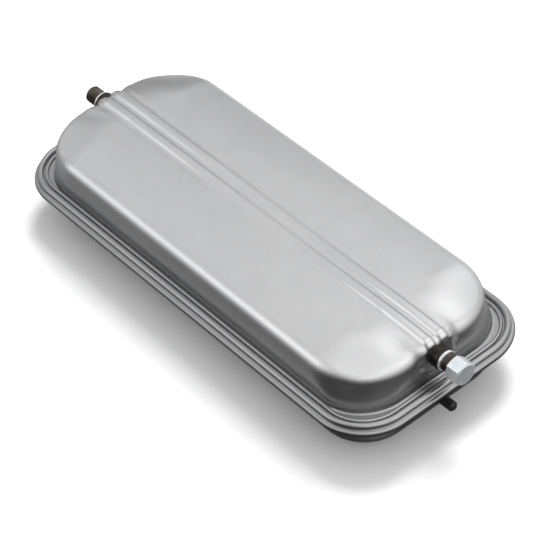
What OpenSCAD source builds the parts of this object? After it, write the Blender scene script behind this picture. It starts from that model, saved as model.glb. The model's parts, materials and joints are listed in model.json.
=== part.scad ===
// Flat diaphragm vessel for a hydraulic or heating circuit: two pressed steel
// shells hemmed together round a rubber diaphragm, a male water nipple on one
// end, a hex-capped second nipple on the other, and a charging valve below it.
//
// +X runs along the body towards the capped end, +Z is up. The origin is the
// centre of the flat underside.

/* [Body] */

// overall length over the hemmed rim
body_len = 492; // [300:1:700]
// overall width over the hemmed rim
body_wid = 205; // [140:1:320]
// outer corner radius of the rim, seen from above
rim_corner = 50; // [20:1:80]
// height of the top panel above the base
body_h = 92; // [60:1:140]
// sheet thickness of both shells
sheet = 1.5; // [0.8:0.1:3]
// how far the shell walls stand in from the end of the rim
end_inset = 17; // [12:0.5:30]
// how far the shell walls stand in from the side of the rim
side_inset = 14.5; // [12:0.5:30]
// corner radius of the lower shell's walls, seen from above
wall_corner = 45; // [20:1:60]
// corner radius of the upper shell's walls at the shoulder
crown_corner = 58; // [50:1:66]
// radius of the shoulder between wall and panel
shoulder_r = 15; // [6:0.5:16]
// radius of the turn at the foot of each wall
foot_r = 2; // [0.5:0.5:4]

/* [Stiffening ribs] */

// distance between the centre lines of the two ribs
rib_gap = 14; // [12:0.5:40]
// radius of each rib's crest
rib_r = 6; // [3:0.5:10]
// how far the ribs stand above the panel
rib_rise = 3.5; // [1:0.5:6]
// length of the ribs from end to end
rib_len = 462; // [440:2:462]

/* [Hemmed rim] */

// height of the seam's mid-plane above the base
seam_z = 44; // [30:1:80]
// outer radius of the two rolls of the hem
roll_r = 3; // [2:0.25:5]
// height of the small ridge inside the hem
ridge_rise = 2.2; // [1:0.1:4]
// thickness of the rubber between the flanges
gasket_t = 2.5; // [1:0.1:4]

/* [Diaphragm] */

// thickness of the rubber
rubber_t = 2.5; // [1:0.1:4]
// height of the diaphragm's centre above the seam when empty
dome_h = 14; // [5:1:30]
// distance of the diaphragm's moving wall from the middle, lengthwise
skirt_a = 213; // [150:1:300]
// distance of the diaphragm's moving wall from the middle, sideways
skirt_b = 80; // [40:1:140]

/* [Nipples] */

// outer radius of the pipe thread, G 3/8
nipple_r = 8.33; // [8.33:0.01:14]
// radius of the nipples' plain shank inside collar and washer
shank_r = 7.5; // [6:0.1:8]
// radius of the waterway
waterway_r = 5; // [3:0.1:8]
// height of the water nipple's axis
water_z = 74.5; // [60:0.5:76]
// height of the capped nipple's axis
plug_z = 73.5; // [60:0.5:76]
// reach of the water nipple from the middle of the body
water_reach = 250.7; // [244:0.1:300]
// reach of the capped nipple from the middle of the body
plug_reach = 260; // [252:0.5:300]
// radius of the welded collars
collar_r = 10.5; // [10:0.5:16]
// radius of the plain washers
washer_r = 9.6; // [9:0.1:14]
// radius of the round pads pressed into the end walls for the nipples
pad_r = 16; // [13:0.5:17]
// reach of the pads' faces from the middle of the body
pad_reach = 231.5; // [229:0.5:234]

/* [Hex cap] */

// width across flats
hex_af = 20; // [19:0.5:32]
// overall height of the cap
hex_h = 14; // [12:0.5:24]
// turn of the hexagon about its axis
hex_turn = 17; // [0:1:59]

/* [Charging valve] */

// height of the valve's axis
valve_z = 21.5; // [12:0.5:32]
// radius of the valve stem's thread
stem_r = 3.85; // [3:0.01:6]
// reach of the valve stem from the middle of the body
stem_reach = 245.5; // [245:0.1:246]
// radius of the valve cap
vcap_r = 4.7; // [4.6:0.1:8]
// number of grip ribs round the valve cap
vcap_ribs = 14; // [8:1:24]

/* [Hidden] */

$fn = 96;
ha = body_len / 2;                    // half length at the rim
hb = body_wid / 2;                    // half width at the rim
wa = ha - end_inset;                  // half length at the walls
wb = hb - side_inset;                 // half width at the walls
up_fl = seam_z;                       // underside of the upper flange
up_ft = seam_z + sheet;               // top of the upper flange
lo_ft = seam_z - gasket_t;            // top of the lower flange
lo_fl = lo_ft - sheet;                // underside of the lower flange
lap = 5;                              // flange edge, in from the rim
bead_x = -6.3;                        // upper roll of the hem, in from the rim
bead_z = up_ft + 0.7;
roll_z = lo_fl + 0.5;                 // lower roll of the hem
ridge_x = -12.2;
rib_z = body_h + rib_rise - rib_r;    // axis of the ribs
hex_x0 = plug_reach + 4.3 - hex_h;    // open end of the hex cap
vx = stem_reach - 247;                // the valve is drawn for a reach of 247
skirt_corner = (wall_corner + crown_corner) / 2; // corner radius of the moving wall
eps = 0.01;

steel = [0.74, 0.74, 0.76];
dark = [0.23, 0.19, 0.17];
zinc = [0.80, 0.84, 0.86];
rubber = [0.07, 0.07, 0.07];
brass = [0.72, 0.58, 0.30];
black = [0.05, 0.05, 0.06];

// ---------- helpers ----------

// rectangle with rounded corners, half sizes a and b
module plate2d(a, b, r) {
    square([2 * a, 2 * (b - r)], center = true);
    square([2 * (a - r), 2 * b], center = true);
    for (sx = [-1, 1], sy = [-1, 1])
        translate([sx * (a - r), sy * (b - r)]) circle(r);
}

module slab(a, b, r, z0, z1) {
    translate([0, 0, z0]) linear_extrude(z1 - z0) plate2d(a, b, r);
}

// flat ring between two rounded rectangles
module band(a, b, r, a2, b2, r2, z0, z1) {
    translate([0, 0, z0]) linear_extrude(z1 - z0)
        difference() { plate2d(a, b, r); plate2d(a2, b2, r2); }
}

// carries a profile round a rounded rectangle; the profile's x is measured
// outwards from the line, its y is height
module round_sweep(a, b, r) {
    for (k = [0, 2]) {
        rotate([0, 0, 90 * k]) translate([a, 0, 0]) rotate([90, 0, 0])
            linear_extrude(2 * (b - r), center = true) children();
        rotate([0, 0, 90 * (k + 1)]) translate([b, 0, 0]) rotate([90, 0, 0])
            linear_extrude(2 * (a - r), center = true) children();
    }
    for (k = [0 : 3])
        translate([(k == 0 || k == 3 ? 1 : -1) * (a - r),
                   (k < 2 ? 1 : -1) * (b - r), 0])
            rotate([0, 0, 90 * k]) rotate_extrude(angle = 90)
                translate([r, 0]) children();
}

// cylinder lying along +X from x0 to x1 at height z
module rod(x0, x1, r, z) {
    translate([x0, 0, z]) rotate([0, 90, 0]) cylinder(h = x1 - x0, r = r);
}

// same, with a chamfer at the x1 end
module rod_ch(x0, x1, r, z, c) {
    translate([x0, 0, z]) rotate([0, 90, 0]) {
        cylinder(h = x1 - x0 - c, r = r);
        translate([0, 0, x1 - x0 - c]) cylinder(h = c, r1 = r, r2 = r - c);
    }
}

// shoulder and wall of the lower shell, drawn with its panel at h and its wall
// running down to z0
module shell_profile(h, z0) {
    intersection() {
        translate([-shoulder_r, h - shoulder_r]) difference() {
            circle(shoulder_r);
            circle(shoulder_r - sheet);
        }
        translate([-shoulder_r, h - shoulder_r]) square(shoulder_r + 1);
    }
    translate([-sheet, z0]) square([sheet, h - shoulder_r - z0]);
    foot_profile(z0);
}

// small turn between a wall and its flange
module foot_profile(z0) {
    translate([-eps, z0]) difference() {
        square([foot_r + eps, sheet + foot_r]);
        translate([foot_r + eps, sheet + foot_r]) circle(foot_r);
    }
}

// ---------- upper shell ----------

// the two ribs, round bars of radius r set into the panel, cut short at both ends
module ribs(r, cut) {
    for (s = [-1, 1]) translate([0, s * rib_gap / 2, rib_z])
        rotate([0, 90, 0]) cylinder(h = rib_len - 2 * cut, r = r, center = true);
}

// round pad for a nipple, standing out of the end wall
module pad(r, x0, x1, z) { rod_ch(x0, x1, r, z, 1.2); }

module upper_shell() color(steel) {
    difference() {
        union() {
            slab(wa - shoulder_r, wb - shoulder_r, crown_corner - shoulder_r,
                 body_h - sheet, body_h);
            round_sweep(wa, wb, crown_corner) shell_profile(body_h, up_fl);
            band(ha - lap, hb - lap, rim_corner - lap,
                 wa - sheet, wb - sheet, crown_corner - sheet, up_fl, up_ft);
            round_sweep(ha, hb, rim_corner) translate([ridge_x, up_ft])
                intersection() {
                    translate([0, ridge_rise - 1.8]) circle(1.8);
                    translate([-3, -sheet / 2]) square([6, 6]);
                }
            ribs(rib_r, 0);
            pad(pad_r, wa - shoulder_r, pad_reach, plug_z);
            mirror([1, 0, 0]) pad(pad_r, wa - shoulder_r, pad_reach, water_z);
        }
        ribs(rib_r - sheet, sheet);
        // room inside the pads
        rod(wa - shoulder_r - 1, pad_reach - sheet, pad_r - sheet, plug_z);
        rod(-pad_reach + sheet, -wa + shoulder_r + 1, pad_r - sheet, water_z);
        // collar holes in the faces of the pads
        rod(-wa - 12, -wa + 25, collar_r, water_z);
        rod(wa - 25, wa + 12, collar_r, plug_z);
    }
}

// ---------- lower shell, with the hem that closes over the upper one ----------

module hem_profile() {
    difference() {
        union() {
            // lower roll
            translate([-roll_r, roll_z]) circle(roll_r);
            // web between the rolls
            translate([bead_x + roll_r - sheet, roll_z])
                square([sheet, bead_z - roll_z]);
            // upper roll, resting on the upper flange
            intersection() {
                translate([bead_x, bead_z]) circle(roll_r);
                translate([-12, up_ft]) square([12, 8]);
            }
        }
        translate([-roll_r, roll_z]) circle(roll_r - sheet);
        translate([bead_x, bead_z]) circle(roll_r - sheet);
        // room for the flanges
        translate([-20, lo_ft]) square([20 + bead_x + roll_r - sheet, up_ft - lo_ft]);
        translate([-5.5, lo_ft]) square([2.1, 0.8]);
    }
}

module lower_shell() color(steel) {
    difference() {
        union() {
            slab(wa - shoulder_r, wb - shoulder_r, wall_corner - shoulder_r, 0, sheet);
            translate([0, 0, lo_ft]) mirror([0, 0, 1])
                round_sweep(wa, wb, wall_corner) shell_profile(lo_ft, 0);
            band(ha - lap - 0.5, hb - lap - 0.5, rim_corner - lap - 0.5,
                 wa - sheet, wb - sheet, wall_corner - sheet, lo_fl, lo_ft);
            round_sweep(ha, hb, rim_corner) hem_profile();
        }
        rod(wa - 25, wa + 12, 7, valve_z);
    }
}

// ---------- diaphragm ----------

module diaphragm_bead() color(rubber)
    band(ha - lap, hb - lap, rim_corner - lap,
         skirt_a - rubber_t, skirt_b - rubber_t, skirt_corner - rubber_t,
         lo_ft, up_fl);

module diaphragm_skirt() color(rubber)
    band(skirt_a, skirt_b, skirt_corner,
         skirt_a - rubber_t, skirt_b - rubber_t, skirt_corner - rubber_t,
         up_fl, seam_z + dome_h);

module diaphragm_centre() color(rubber) {
    slab(skirt_a, skirt_b, skirt_corner,
         seam_z + dome_h, seam_z + dome_h + rubber_t);
    // thickened pad that meets the top panel
    slab(skirt_a - 60, skirt_b - 40, 20,
         seam_z + dome_h + rubber_t, seam_z + dome_h + rubber_t + 1);
}

// ---------- water nipple, on the -X end ----------

module water_collar() color(dark) difference() {
    mirror([1, 0, 0]) rod_ch(219, 233, collar_r, water_z, 0.8);
    rod(-240, -215, shank_r, water_z);
}

module water_washer() color(zinc) difference() {
    mirror([1, 0, 0]) rod_ch(233, 235, washer_r, water_z, 0.5);
    rod(-240, -230, shank_r, water_z);
}

module water_nipple() color(dark) difference() {
    union() {
        mirror([1, 0, 0]) rod_ch(235, water_reach, nipple_r, water_z, 1);
        rod(-236, -217, shank_r, water_z);
        rod(-219, -217, 11, water_z);
    }
    rod(-water_reach - 1, -216, waterway_r, water_z);
}

// ---------- capped nipple, on the +X end ----------

module plug_collar() color(dark) difference() {
    rod_ch(219, 240, collar_r, plug_z, 1);
    rod(215, 245, shank_r, plug_z);
}

module plug_washer() color(zinc) difference() {
    rod_ch(240, 242, washer_r, plug_z, 0.5);
    rod(235, 245, shank_r, plug_z);
}

module plug_nipple() color(dark) difference() {
    union() {
        rod_ch(242, plug_reach, nipple_r, plug_z, 1);
        rod(217, 243, shank_r, plug_z);
        rod(217, 219, 11, plug_z);
    }
    rod(216, plug_reach + 1, waterway_r, plug_z);
}

module hex_cap_seal() color(rubber)
    rod(plug_reach, plug_reach + 1.5, nipple_r - 0.6, plug_z);

module hex_cap() color(zinc) difference() {
    // hexagon with its outer end turned to a shallow chamfer
    intersection() {
        translate([hex_x0, 0, plug_z]) rotate([0, 90, 0]) rotate([0, 0, 90 + hex_turn])
            cylinder(h = hex_h, r = hex_af / sqrt(3), $fn = 6);
        translate([hex_x0, 0, plug_z]) rotate([0, 90, 0]) {
            cylinder(h = hex_h - 1.2, r = hex_af / sqrt(3) + 0.2);
            translate([0, 0, hex_h - 1.2 - eps])
                cylinder(h = 1.2 + eps, r1 = hex_af / sqrt(3) + 0.2, r2 = hex_af / 2 - 0.3);
        }
    }
    rod(hex_x0 - 1, plug_reach + 1.5, nipple_r + 0.05, plug_z);
}

// ---------- charging valve, on the +X end, below the rim ----------

module valve_bush() color(steel) difference() {
    rod_ch(219, 231, 7, valve_z, 1);
    rod(215, 235, stem_r, valve_z);
}

module valve_stem() color(brass) translate([vx, 0, 0]) difference() {
    union() {
        rod_ch(218, 247, stem_r, valve_z, 0.5);
        rod(218, 219 - vx, 6, valve_z);
    }
    rod(226, 248, 2.7, valve_z);
    rod(216, 227, 1.5, valve_z);
}

module core_body() color(brass) translate([vx, 0, 0]) difference() {
    rod(232, 244, 2.7, valve_z);
    rod(234, 245, 2.0, valve_z);
    rod(231, 235, 1.2, valve_z);
}

// the pin rests shut; pressing it towards -X opens the valve
module core_pin() color(brass) translate([vx, 0, 0]) {
    rod(229.5, 246, 0.8, valve_z);
    rod(229.5, 231.2, 2.1, valve_z);
    rod(242.8, 243.5, 1.6, valve_z);
}

module core_seal() color(rubber) translate([vx, 0, 0]) difference() {
    rod(231.2, 232, 2.1, valve_z);
    rod(230, 233, 0.8, valve_z);
}

// compression spring between the core body and the pin's shoulder
spring_turns = 6;
spring_steps = 16;
spring_sides = 6;
spring_x0 = 234.3;
spring_x1 = 242.5;

function spring_pt(i, j) =
    let (n = spring_turns * spring_steps,
         t = 360 * i / spring_steps,
         u = 360 * j / spring_sides,
         rr = 1.4 + 0.25 * cos(u),
         x = spring_x0 + (spring_x1 - spring_x0) * i / n + 0.25 * sin(u))
    [x, rr * cos(t), valve_z + rr * sin(t)];

module core_spring() color(steel) translate([vx, 0, 0]) {
    n = spring_turns * spring_steps;
    m = spring_sides;
    pts = [for (i = [0 : n]) for (j = [0 : m - 1]) spring_pt(i, j)];
    sides = [for (i = [0 : n - 1]) for (j = [0 : m - 1])
        [i * m + j, (i + 1) * m + j, (i + 1) * m + (j + 1) % m, i * m + (j + 1) % m]];
    cap0 = [for (j = [0 : m - 1]) j];
    cap1 = [for (j = [0 : m - 1]) n * m + (m - 1 - j)];
    polyhedron(points = pts, faces = concat(sides, [cap0, cap1]), convexity = 8);
}

module valve_cap_seal() color(rubber) translate([vx, 0, 0])
    rod(247.1, 248, stem_r - 0.4, valve_z);

module valve_cap() color(black) translate([vx, 0, 0]) difference() {
    union() {
        rod(234, 248.6, vcap_r - 0.25, valve_z);
        rod(234, 235.4, vcap_r, valve_z);
        rod(248.6, 250, 2.8, valve_z);
        for (k = [0 : vcap_ribs - 1])
            translate([235.2, 0, valve_z]) rotate([360 / vcap_ribs * k, 0, 0])
                translate([0, -0.35, vcap_r - 0.6]) cube([12.6, 0.7, 0.58]);
    }
    rod(233, 248, stem_r + 0.05, valve_z);
}

// ---------- assembly ----------

upper_shell();
lower_shell();
diaphragm_bead();
diaphragm_skirt();
diaphragm_centre();
water_collar();
water_washer();
water_nipple();
plug_collar();
plug_washer();
plug_nipple();
hex_cap_seal();
hex_cap();
valve_bush();
valve_stem();
core_body();
core_pin();
core_seal();
core_spring();
valve_cap_seal();
valve_cap();
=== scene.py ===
import bpy, math, json
import numpy as np
from mathutils import Matrix, Vector


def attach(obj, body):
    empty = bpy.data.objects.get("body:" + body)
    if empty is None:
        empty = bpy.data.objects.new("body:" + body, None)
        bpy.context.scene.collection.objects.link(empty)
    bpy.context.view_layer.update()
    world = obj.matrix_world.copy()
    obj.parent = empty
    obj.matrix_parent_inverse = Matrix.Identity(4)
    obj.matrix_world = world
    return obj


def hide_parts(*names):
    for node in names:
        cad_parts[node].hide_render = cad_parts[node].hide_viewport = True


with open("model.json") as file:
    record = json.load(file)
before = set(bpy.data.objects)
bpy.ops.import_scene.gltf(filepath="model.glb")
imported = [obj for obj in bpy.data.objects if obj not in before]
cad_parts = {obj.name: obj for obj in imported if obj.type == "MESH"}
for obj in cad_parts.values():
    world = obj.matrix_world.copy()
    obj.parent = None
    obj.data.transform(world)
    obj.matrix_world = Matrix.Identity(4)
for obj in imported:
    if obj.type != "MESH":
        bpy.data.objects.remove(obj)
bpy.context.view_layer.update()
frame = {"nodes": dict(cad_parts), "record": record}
N = frame["nodes"]
MM = 0.001

# ------------------------------------------------------------------ sizes (mm)
HA, HB, RIM_R = 246.0, 102.5, 50.0
WA, WB, WALL_R = 229.0, 88.2, 46.0
H = 92.0
SHEET = 1.5
UP_FL, UP_FT, LO_FT, LO_FL = 44.0, 45.5, 41.5, 40.0
WATER_Z, PLUG_Z, VALVE_Z = 74.5, 73.5, 21.5
TOP_R = 58.0            # corner radius of the walls at the shoulder
CROWN_W = 42.0          # width of the border that falls towards the shoulder
FOOT_Z = UP_FT + 2.2    # where the walls start to rise out of the flange

# ------------------------------------------------------------- mesh helpers


def make(name, verts, faces, body, smooth=True, sharp=None):
    """A mesh object from points in mm, riding on a body."""
    me = bpy.data.meshes.new(name)
    me.from_pydata([tuple(v) for v in (np.asarray(verts, float) * MM)], [], [tuple(f) for f in faces])
    me.validate()
    me.update()
    ob = bpy.data.objects.new(name, me)
    bpy.context.scene.collection.objects.link(ob)
    if smooth:
        me.polygons.foreach_set("use_smooth", [True] * len(me.polygons))
    if sharp is not None:
        me.set_sharp_from_angle(angle=math.radians(sharp))
    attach(ob, body)
    return ob


def smoothstep(e0, e1, x):
    t = np.clip((np.asarray(x, float) - e0) / (e1 - e0), 0, 1)
    return t * t * (3 - 2 * t)


NS, NL, NC = 110, 150, 18


def outline(a, b, r):
    """Rounded rectangle: points, outward normals, and a weight that is 1 on the
    two short ends and 0 on the long sides. Anticlockwise from the +X end."""
    P, Q, W = [], [], []
    t = np.linspace(-1, 1, NS, endpoint=False)
    g = 0.42 * t + 0.58 * t ** 3

    def side_end(sx):
        for v in g:
            P.append((sx * a, sx * v * (b - r)))
            Q.append((sx, 0.0))
            W.append(1.0)

    def side_long(sy):
        for v in np.linspace(1, -1, NL, endpoint=False):
            P.append((sy * v * (a - r), sy * b))
            Q.append((0.0, sy))
            W.append(0.0)

    def corner(cx, cy, a0, w0, w1):
        for k in range(NC):
            u = k / NC
            ang = math.radians(a0 + 90 * u)
            P.append((cx + r * math.cos(ang), cy + r * math.sin(ang)))
            Q.append((math.cos(ang), math.sin(ang)))
            s = u * u * (3 - 2 * u)
            W.append(w0 * (1 - s) + w1 * s)

    side_end(1); corner(a - r, b - r, 0, 1, 0)
    side_long(1); corner(-(a - r), b - r, 90, 0, 1)
    side_end(-1); corner(-(a - r), -(b - r), 180, 1, 0)
    side_long(-1); corner(a - r, -(b - r), 270, 0, 1)
    return np.array(P), np.array(Q), np.array(W)


def loft(rings, closed=True):
    """Rings of equal length into faces. closed joins the last ring to the first."""
    n = len(rings[0])
    V = np.concatenate(rings)
    F = []
    m = len(rings)
    last = m if closed else m - 1
    j = np.arange(n)
    jn = (j + 1) % n
    for i in range(last):
        a0 = i * n
        b0 = ((i + 1) % m) * n
        F.append(np.stack([a0 + j, b0 + j, b0 + jn, a0 + jn], 1))
    return V, np.concatenate(F)


def slit_strip(start, flip):
    """Closes a slit ring that lies along X: pairs points across it."""
    n = 2 * NS + 2 * NL + 4 * NC
    # the ring runs +X end, corner, +Y side, corner, -X end, corner, -Y side, corner;
    # pair point k (counted from the middle of the +X end) with its mirror
    mid = NS // 2
    F = []
    for k in range(n // 2 - 1):
        a0, a1 = (mid + k) % n, (mid + k + 1) % n
        b0, b1 = (mid - k - 1) % n, (mid - k - 2) % n
        if a0 == b0 or a1 == b1:
            continue
        q = [start + a0, start + a1, start + b1, start + b0]
        F.append(q[::-1] if flip else q)
    F2 = []
    for q in F:
        if len(set(q)) == 4:
            F2.append(q)
    return F2


PW, QW, WW = outline(WA, WB, WALL_R)
PT = outline(WA, WB, TOP_R)[0]
PR, QR, WR = outline(HA, HB, RIM_R)
SLIT_A = 150.0


def band_mask(y):
    """1 over the two ribs and the strip between them, 0 outside."""
    return smoothstep(34, 10, np.abs(y))


def rib_height(x, y):
    """Height of the twin ribs over the panel."""
    amp = 0.85 + 1.75 * smoothstep(20, 150, np.abs(x - 30))
    prof = 0
    for c in (-7.0, 7.0):
        t = np.abs(y - c)
        prof = prof + 0.5 * (1 + np.cos(np.pi * np.clip((t - 1.9) / 4.4, 0, 1)))
    dip = np.exp(-((np.abs(y) - 14.6) / 3.4) ** 2)
    return amp * (prof - 0.16 * dip)


def corner_measure(x, y):
    qx = np.maximum(np.abs(x) - (WA - TOP_R), 0)
    qy = np.maximum(np.abs(y) - (WB - TOP_R), 0)
    n = np.hypot(qx, qy)
    c = np.where(n > 1e-6, 4 * (qx * qy) ** 2 / np.maximum(n, 1e-6) ** 4, 0)
    e = np.where(n > 1e-6, (qx / np.maximum(n, 1e-6)) ** 2, 0)
    return c, e, n


def edge_drop(x, y):
    """How far the panel's border falls at the wall nearest to a point."""
    c, e, n = corner_measure(x, y)
    return (4.6 + 1.0 * e + 5.0 * c) * (1 - 0.75 * band_mask(y) * smoothstep(120, 170, np.abs(x)))


def inset(x, y):
    """Distance inwards from the walls' outline at the shoulder."""
    ax, ay = np.abs(x) - (WA - TOP_R), np.abs(y) - (WB - TOP_R)
    out = np.hypot(np.maximum(ax, 0), np.maximum(ay, 0)) + np.minimum(np.maximum(ax, ay), 0)
    return TOP_R - out


def pad_push(y, z, zc):
    """The round pads pressed out of the end walls round the nipples."""
    top = smoothstep(26, 13, np.abs(y))
    low = smoothstep(18.2, 14.2, np.hypot(y, z - zc))
    k = smoothstep(zc - 2, zc + 6, z)
    return 2.6 * (low * (1 - k) + top * k)


def upper_rings():
    n = len(PT)
    x0, y0 = PT[:, 0], PT[:, 1]
    end = (np.abs(QW[:, 0]) > 0.999).astype(float)
    zc = np.where(x0 > 0, PLUG_Z, WATER_Z)
    cm = 4 * WW * (1 - WW)
    mid = end * smoothstep(26, 13, np.abs(y0))
    pad, far = mid * (x0 > 0), mid * (x0 < 0)
    R = 14.8 + (13.0 - 14.8) * WW - 3.5 * cm
    R = R * (1 - pad - far) + 6.5 * pad + 19.0 * far
    push = 2.6 * pad
    D = edge_drop(x0, y0)
    tilt = np.arctan(2 * D / CROWN_W)
    outer, inner = [], []
    z_edge = H - D                                     # panel height where the shoulder starts
    z_wall = z_edge - R * np.cos(tilt)                 # where the shoulder meets the wall

    def wall_xy(z):
        """the wall's outline at height z, one height for each point"""
        u = np.clip((z - FOOT_Z) / np.maximum(z_wall - FOOT_Z, 1), 0, 1)
        u = 0.72 * u + 0.28 * u * u * (3 - 2 * u)
        return PW * (1 - u)[:, None] + PT * u[:, None]

    slit = outline(SLIT_A, 0.35, 0.34)[0]
    for lst, t in ((outer, 0.0), (inner, SHEET)):
        Rt = R - t
        d0 = push - R * (1 - np.sin(tilt)) - t * np.sin(tilt)
        start = PT + QW * d0[:, None]
        npan = 96 if t == 0 else 26
        for i in range(npan):
            u = (1 - i / npan) ** 1.12
            xy = start * (1 - u) + slit * u
            x, y = xy[:, 0], xy[:, 1]
            w = np.clip((inset(x, y) - R * (1 - np.sin(tilt))) / CROWN_W, 0, 1)
            z = H - t - edge_drop(x, y) * (1 - w) ** 2 + rib_height(x, y)
            lst.append(np.column_stack([xy, np.minimum(z, 95.45 - t)]))
        nph = 22 if t == 0 else 10
        for i in range(nph + 1):
            ph = tilt + (math.pi / 2 - tilt) * i / nph
            d = push - R + Rt * np.sin(ph)
            z = z_wall + Rt * np.cos(ph)
            xy = PT + QW * d[:, None]
            hr = rib_height(xy[:, 0], xy[:, 1]) * end
            fade = 1 - smoothstep(math.radians(60), math.radians(88), ph)
            xy = xy + QW * (0.5 * hr * fade * np.sin(ph))[:, None]
            z = z + hr * fade * np.cos(ph) ** 0.5
            lst.append(np.column_stack([xy, np.minimum(z, 95.45 - t)]))
    # walls and flange
    nw = 18
    for i in range(1, nw + 1):
        z = z_wall + (FOOT_Z - z_wall) * i / nw
        p = end * (x0 > 0) * pad_push(y0, z, zc)
        outer.append(np.column_stack([wall_xy(z) + QW * p[:, None], z]))
    for i in range(1, 8):
        a = math.radians(90 * i / 7)
        d = 2.2 * (1 - math.cos(a))
        outer.append(np.column_stack([PW + QW * d, np.full(n, FOOT_Z - 2.2 * math.sin(a))]))
    foot = PW + QW * 2.2
    # ridge inside the hem
    rc, rr, rz = -12.2, 1.8, UP_FT + 0.4
    a_start = math.asin(0.4 / rr) + math.pi
    ridge = []
    for i in range(15):
        a = a_start - (a_start + math.asin(0.4 / rr)) * i / 14
        ridge.append((rc + rr * math.cos(a), rz + rr * math.sin(a)))
    first = PR + QR * (ridge[0][0] - 0.5)
    for u in (0.3, 0.65):
        outer.append(np.column_stack([foot * (1 - u) + first * u, np.full(n, UP_FT)]))
    outer.append(np.column_stack([first, np.full(n, UP_FT + 0.04)]))
    for x, z in ridge:
        outer.append(np.column_stack([PR + QR * x, np.full(n, z)]))
    outer.append(np.column_stack([PR + QR * (ridge[-1][0] + 0.4), np.full(n, UP_FT + 0.04)]))
    outer.append(np.column_stack([PR + QR * -8.0, np.full(n, UP_FT)]))
    outer.append(np.column_stack([PR + QR * -5.0, np.full(n, UP_FT)]))
    outer.append(np.column_stack([PR + QR * -5.0, np.full(n, UP_FL)]))
    outer.append(np.column_stack([PW - QW * SHEET, np.full(n, UP_FL)]))
    for i in range(nw - 1, 0, -2):
        z = z_wall + (FOOT_Z - z_wall) * i / nw
        p = end * (x0 > 0) * pad_push(y0, z, zc)
        outer.append(np.column_stack([wall_xy(z) + QW * (p - SHEET)[:, None], z]))
    return outer, inner


def build_upper():
    outer, inner = upper_rings()
    rings = outer + inner[::-1]
    V, F = loft(rings, closed=False)
    n = len(rings[0])
    F = [tuple(f) for f in F]
    F += slit_strip(0, False)
    F += slit_strip((len(rings) - 1) * n, True)
    return V, F


def hem_section():
    """The hem's visible line from the underside round to the end of the curl,
    as (distance from the rim's outer line, height)."""
    pts = []
    # underside of the lower roll round its outside to the crease
    c, z0, r = -3.0, LO_FL + 0.5, 3.0
    for a in np.linspace(-115, 88, 26):
        t = math.radians(a)
        e = 3.0
        ct, st = math.cos(t), math.sin(t)
        # a slightly squared roll: flatter outer face than a true circle
        k = (abs(ct) ** e + abs(st) ** e) ** (-1 / e)
        k = 0.5 + 0.5 * k
        k = min(k, 1.0 / max(abs(ct), 1e-6), 1.0 / max(abs(st), 1e-6))
        pts.append((c + r * ct * k, z0 + r * st * k))
    # crease, then the upper roll
    c2, z2 = -6.3, UP_FT + 0.7
    pts.append((-3.35, 43.75))
    pts.append((-3.55, 44.3))
    for a in np.linspace(-28, 192, 30):
        t = math.radians(a)
        pts.append((c2 + r * math.cos(t), z2 + r * math.sin(t)))
    pts.append((-9.2, UP_FT + 0.05))
    return pts


def build_lower():
    R = np.full(len(PW), 17.0)
    rings = []
    slit = outline(SLIT_A, 0.35, 0.34)[0]
    start = PW - QW * R[:, None]
    full = np.ones(len(PW))
    npan = 24
    for i in range(npan):
        u = 1 - i / npan
        xy = start * (1 - u) + slit * u
        rings.append(np.column_stack([xy, 0 * full]))
    for i in range(15):
        ph = math.radians(90 * i / 14)
        rings.append(np.column_stack([PW + QW * (-R + R * math.sin(ph))[:, None],
                                      R - R * math.cos(ph)]))
    zt = LO_FL - 2.2
    for i in range(1, 9):
        z = 17 + (zt - 17) * i / 8
        rings.append(np.column_stack([PW, z * full]))
    for i in range(1, 6):
        a = math.radians(90 * i / 5)
        rings.append(np.column_stack([PW + QW * (2.2 * (1 - math.cos(a))),
                                      (zt + 2.2 * math.sin(a)) * full]))
    hem = hem_section()
    foot = PW + QW * 2.2
    first = PR + QR * (hem[0][0] - 0.6)
    for u in (0.4, 0.9):
        rings.append(np.column_stack([foot * (1 - u) + first * u, LO_FL * full]))
    for x, z in hem:
        rings.append(np.column_stack([PR + QR * x, z * full]))
    # inside of the curl, web and flange, back to the inside of the shell
    for x, z in ((-7.8, UP_FT + 0.02), (-7.6, 46.6), (-6.3, 47.7), (-4.9, 46.6), (-4.82, 45.4),
                 (-4.82, LO_FT + 0.02), (-9.0, LO_FT + 0.01)):
        rings.append(np.column_stack([PR + QR * x, z * full]))
    inn = PW - QW * SHEET
    rings.append(np.column_stack([inn, LO_FT * full]))
    rings.append(np.column_stack([inn, 28 * full]))
    for i in range(9):
        ph = math.radians(90 - 90 * i / 8)
        rr = 15.5
        rings.append(np.column_stack([PW + QW * (-R + rr * math.sin(ph))[:, None],
                                      17 - rr * math.cos(ph) * full]))
    start = PW - QW * 17.0
    for i in range(10):
        u = (i + 1) / 10
        rings.append(np.column_stack([start * (1 - u) + slit * u, 1.5 * full]))
    V, F = loft(rings, closed=False)
    n = len(rings[0])
    F = [tuple(f[::-1]) for f in F]
    F += slit_strip(0, True)
    F += slit_strip((len(rings) - 1) * n, False)
    return V, F


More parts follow.
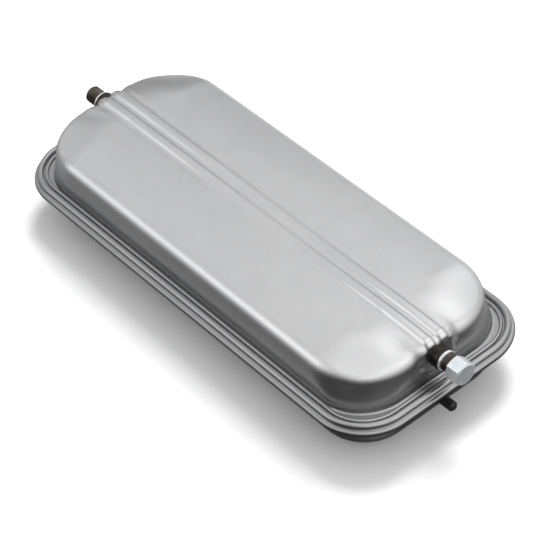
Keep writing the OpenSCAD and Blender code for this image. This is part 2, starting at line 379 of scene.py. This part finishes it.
def cut_holes(ob, holes):
    """Cuts round holes along X: (x0, x1, radius, z)."""
    for k, (x0, x1, r, z) in enumerate(holes):
        th = np.linspace(0, 2 * math.pi, 96, endpoint=False)
        ring = lambda x: np.column_stack([np.full(96, x), r * np.cos(th), z + r * np.sin(th)])
        V = np.concatenate([ring(x0), ring(x1)])
        F = [(i, (i + 1) % 96, 96 + (i + 1) % 96, 96 + i) for i in range(96)]
        F.append(tuple(range(95, -1, -1)))
        F.append(tuple(range(96, 192)))
        me = bpy.data.meshes.new("cutter")
        me.from_pydata([tuple(v) for v in V * MM], [], F)
        me.update()
        cutter = bpy.data.objects.new("cutter", me)
        bpy.context.scene.collection.objects.link(cutter)
        mod = ob.modifiers.new("hole", "BOOLEAN")
        mod.operation = "DIFFERENCE"
        mod.solver = "EXACT"
        mod.object = cutter
        bpy.context.view_layer.update()
        dg = bpy.context.evaluated_depsgraph_get()
        new = bpy.data.meshes.new_from_object(ob.evaluated_get(dg))
        ob.modifiers.remove(mod)
        old = ob.data
        ob.data = new
        bpy.data.objects.remove(cutter)
        bpy.data.meshes.remove(me)
        if old.users == 0:
            bpy.data.meshes.remove(old)


def turned(name, body, z, profile, seg=96, bump=None, sharp=35, flip=False):
    """Solid of revolution about the X axis at height z. profile is a closed list of
    (x, r); bump(x, r, theta) changes the radius. Points with r 0 close the ends."""
    th = np.linspace(0, 2 * math.pi, seg, endpoint=False)
    rings, V, F = [], [], []
    idx = []
    for x, r in profile:
        if r <= 1e-9:
            idx.append([len(V)])
            V.append((x, 0, z))
        else:
            rr = np.full(seg, r, float)
            if bump is not None:
                rr = bump(x, rr, th)
            s = len(V)
            idx.append(list(range(s, s + seg)))
            for t, q in zip(th, rr):
                V.append((x, q * math.cos(t), z + q * math.sin(t)))
    m = len(profile)
    closed = profile[0][1] > 1e-9 and profile[-1][1] > 1e-9
    for i in range(m if closed else m - 1):
        A, B = idx[i], idx[(i + 1) % m]
        if len(A) == 1 and len(B) == 1:
            continue
        for j in range(seg):
            k = (j + 1) % seg
            if len(A) == 1:
                F.append((A[0], B[k], B[j]))
            elif len(B) == 1:
                F.append((A[j], A[k], B[0]))
            else:
                F.append((A[j], A[k], B[k], B[j]))
    if flip:
        F = [f[::-1] for f in F]
    ob = make(name, V, F, body, sharp=sharp)
    return ob


def fix_normals(ob):
    import bmesh
    bm = bmesh.new()
    bm.from_mesh(ob.data)
    bmesh.ops.recalc_face_normals(bm, faces=bm.faces)
    bm.to_mesh(ob.data)
    bm.free()


def thread_bump(pitch, depth, x_lo, x_hi, hand=1):
    def f(x, r, th):
        ph = (x / pitch + hand * th / (2 * math.pi)) % 1.0
        tri = np.abs(ph - 0.5) * 2             # 1 at the root, 0 at the crest
        flat = np.clip((tri - 0.14) / 0.72, 0, 1)
        env = min(smoothstep(x_lo, x_lo + pitch * 1.2, x), 1 - smoothstep(x_hi - pitch * 1.2, x_hi, x))
        if x < x_lo or x > x_hi:
            env = 0
        return r - depth * flat * env
    return f


# ------------------------------------------------------------------ shells
V, F = build_upper()
upper = make("upper_shell_skin", V, F, "vessel")
fix_normals(upper)
cut_holes(upper, [(-245, -205, 10.52, WATER_Z), (205, 245, 10.52, PLUG_Z)])
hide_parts("upper_shell")

V, F = build_lower()
lower = make("lower_shell_skin", V, F, "vessel")
fix_normals(lower)
cut_holes(lower, [(205, 240, 7.0, VALVE_Z)])
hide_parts("lower_shell")
for ob in (upper, lower):
    me = ob.data
    me.polygons.foreach_set("use_smooth", [True] * len(me.polygons))
    me.set_sharp_from_angle(angle=math.radians(50))


# ---------------------------------------------------------------- fittings
def nipple(name, body, z, sign, face, reach, node):
    """Male nipple with a helical G 3/8 thread from its washer's face to its end."""
    rm, pitch, depth = 8.33, 1.337, 0.75
    xs = np.arange(face + 0.5, reach - 1.0, pitch / 9)
    prof = [(217.0, 5.0), (217.0, 11.0), (219.0, 11.0), (219.0, 7.5), (face, 7.5), (face, rm), (face + 0.2, rm)]
    prof += [(x, rm) for x in xs]
    prof += [(reach - 1.0, rm - 0.15), (reach, rm - 1.1), (reach, 5.5), (reach - 0.5, 5.0), (230.0, 5.0)]
    prof = [(sign * x, r) for x, r in prof]
    lo, hi = (xs[0], reach - 0.9)
    b = thread_bump(pitch, depth, lo, hi)

    def bump(x, r, th):
        ax = abs(x)
        if r[0] < rm - 0.01 or ax < lo:
            return r
        return b(ax, r, sign * th)
    ob = turned(name, body, z, prof, seg=72, bump=bump, sharp=40)
    fix_normals(ob)
    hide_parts(node)
    return ob


water_nip = nipple("water_nipple_thread", "vessel", WATER_Z, -1, 235.0, 250.7, "water_nipple")
plug_nip = nipple("plug_nipple_thread", "vessel", PLUG_Z, 1, 242.0, 260.0, "plug_nipple")


def hex_cap():
    af, x0, h = 20.0, 250.3, 14.0
    turn = math.radians(17)
    seg = 360
    th = np.linspace(0, 2 * math.pi, seg, endpoint=False)

    def hexr(t):
        # flats lie halfway between the corners, which start at the turn angle
        a = (t - turn) % (math.pi / 3) - math.pi / 6
        r = af / 2 / np.cos(a)
        return np.minimum(r, af / math.sqrt(3) - 0.22)
    prof = []
    rc = af / math.sqrt(3)
    # outer: bottom chamfer, side, top chamfer
    for x, lim in ((x0, 10.3), (x0 + 0.2, 10.9), (x0 + 0.4, 11.4), (x0 + 0.6, 14.0)):
        prof.append((x, lim))
    for x in np.linspace(x0 + 0.9, x0 + h - 1.7, 8):
        prof.append((x, 14.0))
    for x in np.linspace(x0 + h - 1.5, x0 + h, 20):
        prof.append((x, 9.45 + (x0 + h - x) * 1.75))
    outer_n = len(prof)
    rings = []
    for x, lim in prof:
        r = np.minimum(hexr(th), lim)
        rings.append(np.column_stack([np.full(seg, x), r * np.cos(th), PLUG_Z + r * np.sin(th)]))
    # end face, slightly dished
    xe = x0 + h
    for r, dx in ((9.3, 0.0), (9.0, -0.03), (6.0, -0.07), (3.0, -0.08), (0.4, -0.08)):
        rings.append(np.column_stack([np.full(seg, xe + dx), r * np.cos(th), PLUG_Z + r * np.sin(th)]))
    top_i = len(rings) - 1
    # bore, from its floor out to the mouth
    brings = []
    xb = 261.5
    for x, r in [(xb, 0.4), (xb, 4.0), (xb, 8.38)] + [(x, 8.38) for x in np.arange(xb - 0.6, x0 + 1.2, -1.337 / 9)] + [(x0 + 0.7, 8.5), (x0, 9.1)]:
        rr = np.full(seg, r)
        if r == 8.38 and x < xb - 0.5:
            ph = (x / 1.337 + th / (2 * math.pi)) % 1.0
            tri = np.abs(ph - 0.5) * 2
            rr = r + 0.62 * np.clip((tri - 0.14) / 0.72, 0, 1)
        brings.append(np.column_stack([np.full(seg, x), rr * np.cos(th), PLUG_Z + rr * np.sin(th)]))
    # order: bore floor ... mouth, then outer ... end face
    allr = brings + rings
    n = seg
    V = np.concatenate(allr)
    F = []
    j = np.arange(n)
    jn = (j + 1) % n
    for i in range(len(allr) - 1):
        F.append(np.stack([i * n + j, i * n + jn, (i + 1) * n + jn, (i + 1) * n + j], 1))
    F = [tuple(f) for f in np.concatenate(F)]
    F.append(tuple(range(n)))
    F.append(tuple(range(len(V) - n, len(V))))
    ob = make("hex_cap_body_skin", V, F, "hex_cap_body", sharp=24)
    fix_normals(ob)
    ob.data.set_sharp_from_angle(angle=math.radians(24))
    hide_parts("hex_cap")
    return ob


hexc = hex_cap()


def valve_cap():
    n_ribs = 14
    d = -1.5

    def bump(x, r, th):
        if abs(r[0] - 3.9) < 1e-6 and x < 247.7 + d:
            ph = (x / 0.794 + th / (2 * math.pi)) % 1.0
            return r + 0.25 * np.clip(np.abs(ph - 0.5) * 2, 0, 1)
        if 235.6 + d < x < 247.9 + d and r[0] > 4.4:
            env = min(1, (x - 235.6 - d) / 0.6, (247.9 + d - x) / 0.6)
            return r - 0.4 * env * (0.5 - 0.5 * np.cos(n_ribs * th)) ** 0.6
        return r
    prof = [(248.0, 0.0), (248.0, 3.9)]
    prof += [(x, 3.9) for x in np.arange(247.6, 234.8, -0.794 / 7)]
    prof += [(234.0, 3.95), (234.0, 4.5), (234.25, 4.7), (235.3, 4.7), (235.5, 4.66)]
    prof += [(x, 4.7) for x in np.linspace(235.7, 247.8, 24)]
    prof += [(248.1, 4.45), (248.5, 4.2), (248.6, 3.9), (248.65, 2.95), (248.9, 2.8), (249.6, 2.8),
             (249.9, 2.5), (250.0, 1.9), (250.0, 0.0)]
    prof = [(x + d, r) for x, r in prof]
    ob = turned("valve_cap_skin", "valve_cap_body", VALVE_Z, prof, seg=168, bump=bump, sharp=45)
    fix_normals(ob)
    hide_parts("valve_cap")
    return ob


vcap = valve_cap()


# ---------------------------------------------------------------- materials
def new_mat(name):
    m = bpy.data.materials.new(name)
    m.use_nodes = True
    nt = m.node_tree
    bsdf = nt.nodes["Principled BSDF"]
    return m, nt, bsdf


def tex_coord(nt, scale=(1, 1, 1)):
    tc = nt.nodes.new("ShaderNodeTexCoord")
    mp = nt.nodes.new("ShaderNodeMapping")
    mp.inputs["Scale"].default_value = scale
    nt.links.new(tc.outputs["Object"], mp.inputs["Vector"])
    return mp.outputs["Vector"]


def noise(nt, vec, scale, detail=4, rough=0.5, dist=0.0):
    n = nt.nodes.new("ShaderNodeTexNoise")
    n.inputs["Scale"].default_value = scale
    n.inputs["Detail"].default_value = detail
    n.inputs["Roughness"].default_value = rough
    n.inputs["Distortion"].default_value = dist
    nt.links.new(vec, n.inputs["Vector"])
    return n.outputs["Fac"]


def ramp(nt, fac, stops):
    r = nt.nodes.new("ShaderNodeValToRGB")
    el = r.color_ramp.elements
    el[0].position, el[0].color = stops[0][0], stops[0][1]
    el[1].position, el[1].color = stops[-1][0], stops[-1][1]
    for p, c in stops[1:-1]:
        e = el.new(p)
        e.color = c
    nt.links.new(fac, r.inputs["Fac"])
    return r.outputs["Color"]


def g(v, a=1.0):
    return (v, v, v, a)


def maprange(nt, fac, lo, hi, a, b):
    m = nt.nodes.new("ShaderNodeMapRange")
    m.inputs["From Min"].default_value = lo
    m.inputs["From Max"].default_value = hi
    m.inputs["To Min"].default_value = a
    m.inputs["To Max"].default_value = b
    nt.links.new(fac, m.inputs["Value"])
    return m.outputs["Result"]


def mix_rgb(nt, kind, fac, a, b):
    m = nt.nodes.new("ShaderNodeMix")
    m.data_type = "RGBA"
    m.blend_type = kind
    if isinstance(fac, (int, float)):
        m.inputs[0].default_value = fac
    else:
        nt.links.new(fac, m.inputs[0])
    for sock, v in ((m.inputs[6], a), (m.inputs[7], b)):
        if isinstance(v, tuple):
            sock.default_value = v
        else:
            nt.links.new(v, sock)
    return m.outputs[2]


def math_node(nt, op, a, b):
    m = nt.nodes.new("ShaderNodeMath")
    m.operation = op
    for s, v in ((m.inputs[0], a), (m.inputs[1], b)):
        if isinstance(v, (int, float)):
            s.default_value = v
        else:
            nt.links.new(v, s)
    return m.outputs[0]


def bump_node(nt, height, strength, dist, prev=None):
    b = nt.nodes.new("ShaderNodeBump")
    b.inputs["Strength"].default_value = strength
    b.inputs["Distance"].default_value = dist
    nt.links.new(height, b.inputs["Height"])
    if prev is not None:
        nt.links.new(prev, b.inputs["Normal"])
    return b.outputs["Normal"]


def shell_steel():
    m, nt, p = new_mat("shell_steel")
    p.inputs["Metallic"].default_value = 1.0
    v1 = tex_coord(nt)
    big = noise(nt, v1, 7.0, 3, 0.5, 0.4)
    fine = noise(nt, tex_coord(nt, (120, 700, 700)), 1.0, 3, 0.6)
    mid = noise(nt, v1, 42.0, 5, 0.6)
    base = ramp(nt, big, [(0.30, (0.635, 0.64, 0.65, 1)), (0.70, (0.675, 0.675, 0.68, 1))])
    base = mix_rgb(nt, "MULTIPLY", 0.5, base, ramp(nt, fine, [(0.3, g(0.93)), (0.7, g(1.0))]))
    base = mix_rgb(nt, "MULTIPLY", 0.4, base, ramp(nt, mid, [(0.3, g(0.92)), (0.6, g(1.0))]))
    # painted shade: the rim and the turn above it are darkened by height, standing in for the shadow under the
    # rim and the flange's dark reflection of the wall
    hgt = nt.nodes.new("ShaderNodeSeparateXYZ")
    nt.links.new(v1, hgt.inputs[0])
    base = mix_rgb(nt, "MULTIPLY", 1.0, base,
                   ramp(nt, maprange(nt, hgt.outputs["Z"], 0.026, 0.062, 0, 1),
                        [(0.0, g(1.0)), (0.32, g(0.52)), (0.65, g(0.60)), (1.0, g(1.0))]))
    nt.links.new(base, p.inputs["Base Color"])
    ro = maprange(nt, mid, 0.3, 0.7, 0.27, 0.315)
    nt.links.new(ro, p.inputs["Roughness"])
    nrm = bump_node(nt, fine, 0.025, 0.0003)
    nrm = bump_node(nt, mid, 0.012, 0.001, nrm)
    nt.links.new(nrm, p.inputs["Normal"])
    return m


def turned_metal(name, col_a, col_b, rough_a, rough_b, metallic=1.0, ring=True, specks=0.0):
    m, nt, p = new_mat(name)
    p.inputs["Metallic"].default_value = metallic
    v1 = tex_coord(nt)
    big = noise(nt, v1, 130.0, 4, 0.6, 0.3)
    lines = noise(nt, tex_coord(nt, (9000, 160, 160)), 1.0, 2, 0.5)
    base = ramp(nt, big, [(0.32, col_a), (0.68, col_b)])
    base = mix_rgb(nt, "MULTIPLY", 0.35, base, ramp(nt, lines, [(0.3, g(0.72)), (0.7, g(1.0))]))
    if name == "dark_steel":
        # darker from the end walls out to the washers: partly the collars' darker tone, partly painted shade of
        # the shadowed recess round them
        along = nt.nodes.new("ShaderNodeSeparateXYZ")
        nt.links.new(v1, along.inputs[0])
        base = mix_rgb(nt, "MULTIPLY", 1.0, base,
                       ramp(nt, maprange(nt, along.outputs["X"], -0.26, 0.27, 0, 1),
                            [(0.0, g(1.0)), (0.0485, g(1.0)), (0.0515, g(0.4)), (0.9430, g(0.4)),
                             (0.9475, g(1.0)), (1.0, g(1.0))]))
    nt.links.new(base, p.inputs["Base Color"])
    nt.links.new(maprange(nt, big, 0.3, 0.7, rough_a, rough_b), p.inputs["Roughness"])
    nrm = bump_node(nt, lines, 0.12, 0.0002)
    nrm = bump_node(nt, big, 0.06, 0.0005, nrm)
    nt.links.new(nrm, p.inputs["Normal"])
    return m


def rubber_mat(name, a, b, rough):
    m, nt, p = new_mat(name)
    v1 = tex_coord(nt)
    n1 = noise(nt, v1, 300.0, 5, 0.6)
    n2 = noise(nt, v1, 25.0, 3, 0.5)
    base = ramp(nt, n2, [(0.3, a), (0.7, b)])
    base = mix_rgb(nt, "MULTIPLY", 0.4, base, ramp(nt, n1, [(0.3, g(0.7)), (0.7, g(1.0))]))
    nt.links.new(base, p.inputs["Base Color"])
    nt.links.new(maprange(nt, n1, 0.3, 0.7, rough - 0.08, rough + 0.08), p.inputs["Roughness"])
    nt.links.new(bump_node(nt, n1, 0.2, 0.0003), p.inputs["Normal"])
    return m


M = {
    "shell_steel": shell_steel(),
    "dark_steel": turned_metal("dark_steel", (0.085, 0.070, 0.060, 1), (0.19, 0.165, 0.145, 1), 0.32, 0.46),
    "zinc": turned_metal("zinc", (0.66, 0.705, 0.73, 1), (0.80, 0.83, 0.845, 1), 0.20, 0.30, metallic=0.68),
    "brass": turned_metal("brass", (0.60, 0.46, 0.20, 1), (0.74, 0.60, 0.32, 1), 0.22, 0.34),
    "spring_steel": turned_metal("spring_steel", (0.45, 0.45, 0.46, 1), (0.62, 0.62, 0.63, 1), 0.22, 0.3),
    "diaphragm_rubber": rubber_mat("diaphragm_rubber", (0.018, 0.018, 0.018, 1), (0.035, 0.034, 0.034, 1), 0.62),
    "seal_rubber": rubber_mat("seal_rubber", (0.02, 0.02, 0.02, 1), (0.04, 0.038, 0.036, 1), 0.55),
    "cap_plastic": rubber_mat("cap_plastic", (0.012, 0.012, 0.013, 1), (0.022, 0.022, 0.024, 1), 0.38),
}
SLOT = {s["node"]: s["material_slot"] for s in frame["record"]["subparts"]}


def paint(ob, mat):
    if len(ob.material_slots) == 0:
        ob.data.materials.append(mat)
    for s in ob.material_slots:
        s.material = mat


for name, ob in N.items():
    paint(ob, M[SLOT[name]])
paint(upper, M["shell_steel"])
paint(lower, M["shell_steel"])
paint(water_nip, M["dark_steel"])
paint(plug_nip, M["dark_steel"])
paint(hexc, M["zinc"])
paint(vcap, M["cap_plastic"])

for name in ("water_collar", "plug_collar", "water_washer", "plug_washer", "valve_bush", "valve_stem",
             "core_body", "core_pin"):
    ob = N[name]
    ob.data.polygons.foreach_set("use_smooth", [True] * len(ob.data.polygons))
    ob.data.set_sharp_from_angle(angle=math.radians(35))

# ------------------------------------------------------------------- floor
fl = bpy.data.meshes.new("floor")
nf = 24
fv = [(-3.0 + 6.0 * i / nf, -3.0 + 6.0 * j / nf, -0.0002) for j in range(nf + 1) for i in range(nf + 1)]
ff = [(j * (nf + 1) + i, j * (nf + 1) + i + 1, (j + 1) * (nf + 1) + i + 1, (j + 1) * (nf + 1) + i)
      for j in range(nf) for i in range(nf)]
fl.from_pydata(fv, [], ff)
floor = bpy.data.objects.new("floor", fl)
bpy.context.scene.collection.objects.link(floor)
fm, nt, p = new_mat("floor_paper")
p.inputs["Roughness"].default_value = 0.9
p.inputs["Specular IOR Level"].default_value = 0.1
fn = noise(nt, tex_coord(nt), 6.0, 3, 0.5)
nt.links.new(ramp(nt, fn, [(0.2, g(0.76)), (0.8, g(0.78))]), p.inputs["Base Color"])
floor.data.materials.append(fm)
floor.visible_glossy = False

# ------------------------------------------------------------------- world
scene = bpy.context.scene
world = bpy.data.worlds.new("studio")
scene.world = world
world.use_nodes = True
nt = world.node_tree
bg = nt.nodes["Background"]
# soft patches of light all round: azimuth, height, brightness
PATCHES = [
    (101, 61, 0.87), (-129, 17, 0.82), (-109, 32, 0.75), (114, 30, 0.73), (9, 19, 0.55), (21, -2, 0.38),
    (16, 68, 0.68), (-24, 28, 0.55), (179, 12, 0.62), (-4, 44, 0.60), (106, -6, 0.60), (-69, 80, 0.60),
    (-11, 6, 0.28), (29, 34, 0.57), (138, -14, 0.55), (61, 24, 0.49), (53, -11, 0.25), (81, 40, 0.45),
    (-174, 55, 0.45), (-36, 57, 0.44), (41, 11, 0.43), (49, 52, 0.42), (166, 36, 0.38), (73, 2, 0.37),
    (-141, 42, 0.34), (134, 47, 0.34), (118, -28, 0.28), (-121, 64, 0.32), (-56, 38, 0.32), (-89, 49, 0.30),
    (154, 73, 0.29), (-157, -32, 0.27), (126, 7, 0.20), (-161, 26, 0.19), (-44, 14, 0.10), (94, 16, 0.14),
    (86, -19, 0.12), (-7, -61, 0.12), (-169, -9, 0.12), (-72, -36, 0.05), (-137, -17, 0.10), (171, -23, 0.10),
    (-130, 25, 0.55, 60), (30, 36, 0.55, 40), (118, 58, 0.34, 30), (-40, 42, 0.45, 40),
]
tc = nt.nodes.new("ShaderNodeTexCoord")
total = None
for patch in PATCHES:
    pa, pe, pw = math.radians(patch[0]), math.radians(patch[1]), patch[2]
    sharp = float(patch[3]) if len(patch) > 3 else 16.0
    dot = nt.nodes.new("ShaderNodeVectorMath")
    dot.operation = "DOT_PRODUCT"
    nt.links.new(tc.outputs["Generated"], dot.inputs[0])
    dot.inputs[1].default_value = (math.cos(pa) * math.cos(pe), math.sin(pa) * math.cos(pe), math.sin(pe))
    ma = nt.nodes.new("ShaderNodeMath")
    ma.operation = "MULTIPLY_ADD"
    nt.links.new(dot.outputs["Value"], ma.inputs[0])
    ma.inputs[1].default_value = sharp
    ma.inputs[2].default_value = -sharp
    ex = nt.nodes.new("ShaderNodeMath")
    ex.operation = "EXPONENT"
    nt.links.new(ma.outputs[0], ex.inputs[0])
    ad = nt.nodes.new("ShaderNodeMath")
    ad.operation = "MULTIPLY_ADD"
    nt.links.new(ex.outputs[0], ad.inputs[0])
    ad.inputs[1].default_value = pw
    if total is None:
        ad.inputs[2].default_value = 0.03
    else:
        nt.links.new(total, ad.inputs[2])
    total = ad.outputs[0]
nt.links.new(total, bg.inputs["Color"])
bg.inputs["Strength"].default_value = 1.0


def area(name, loc, target, size, power, sy=None):
    d = bpy.data.lights.new(name, "AREA")
    d.energy = power
    d.shape = "RECTANGLE" if sy else "SQUARE"
    d.size = size
    if sy:
        d.size_y = sy
    ob = bpy.data.objects.new(name, d)
    scene.collection.objects.link(ob)
    ob.location = loc
    ob.rotation_euler = (Vector(target) - Vector(loc)).to_track_quat("-Z", "Y").to_euler()
    return ob


key = area("key_back", (-0.75, 1.3, 2.3), (0, 0, 0), 1.2, 78)
key.visible_glossy = False

# ------------------------------------------------------------------ camera
az, el, roll, dist = (math.radians(54.876), math.radians(43.592), math.radians(-6.872), 2.031522)
back = np.array([math.sin(az) * math.cos(el), -math.cos(az) * math.cos(el), math.sin(el)])
right = np.array([math.cos(az), math.sin(az), 0])
up = np.cross(back, right)
R2 = math.cos(roll) * right + math.sin(roll) * up
U2 = -math.sin(roll) * right + math.cos(roll) * up
tgt = np.array([0.027126, -0.018522, 0.048])
eye = tgt + back * dist
cd = bpy.data.cameras.new("cam")
cam = bpy.data.objects.new("cam", cd)
scene.collection.objects.link(cam)
mw = Matrix.Identity(4)
for i in range(3):
    mw[i][0], mw[i][1], mw[i][2], mw[i][3] = R2[i], U2[i], back[i], eye[i]
cam.matrix_world = mw
cd.sensor_fit = "HORIZONTAL"
cd.sensor_width = 36.0
cd.lens = 2297.075 / 533.0 * 36.0
cd.clip_end = 50
scene.camera = cam
scene.view_settings.view_transform = "Standard"
scene.view_settings.look = "None"

bpy.context.view_layer.update()
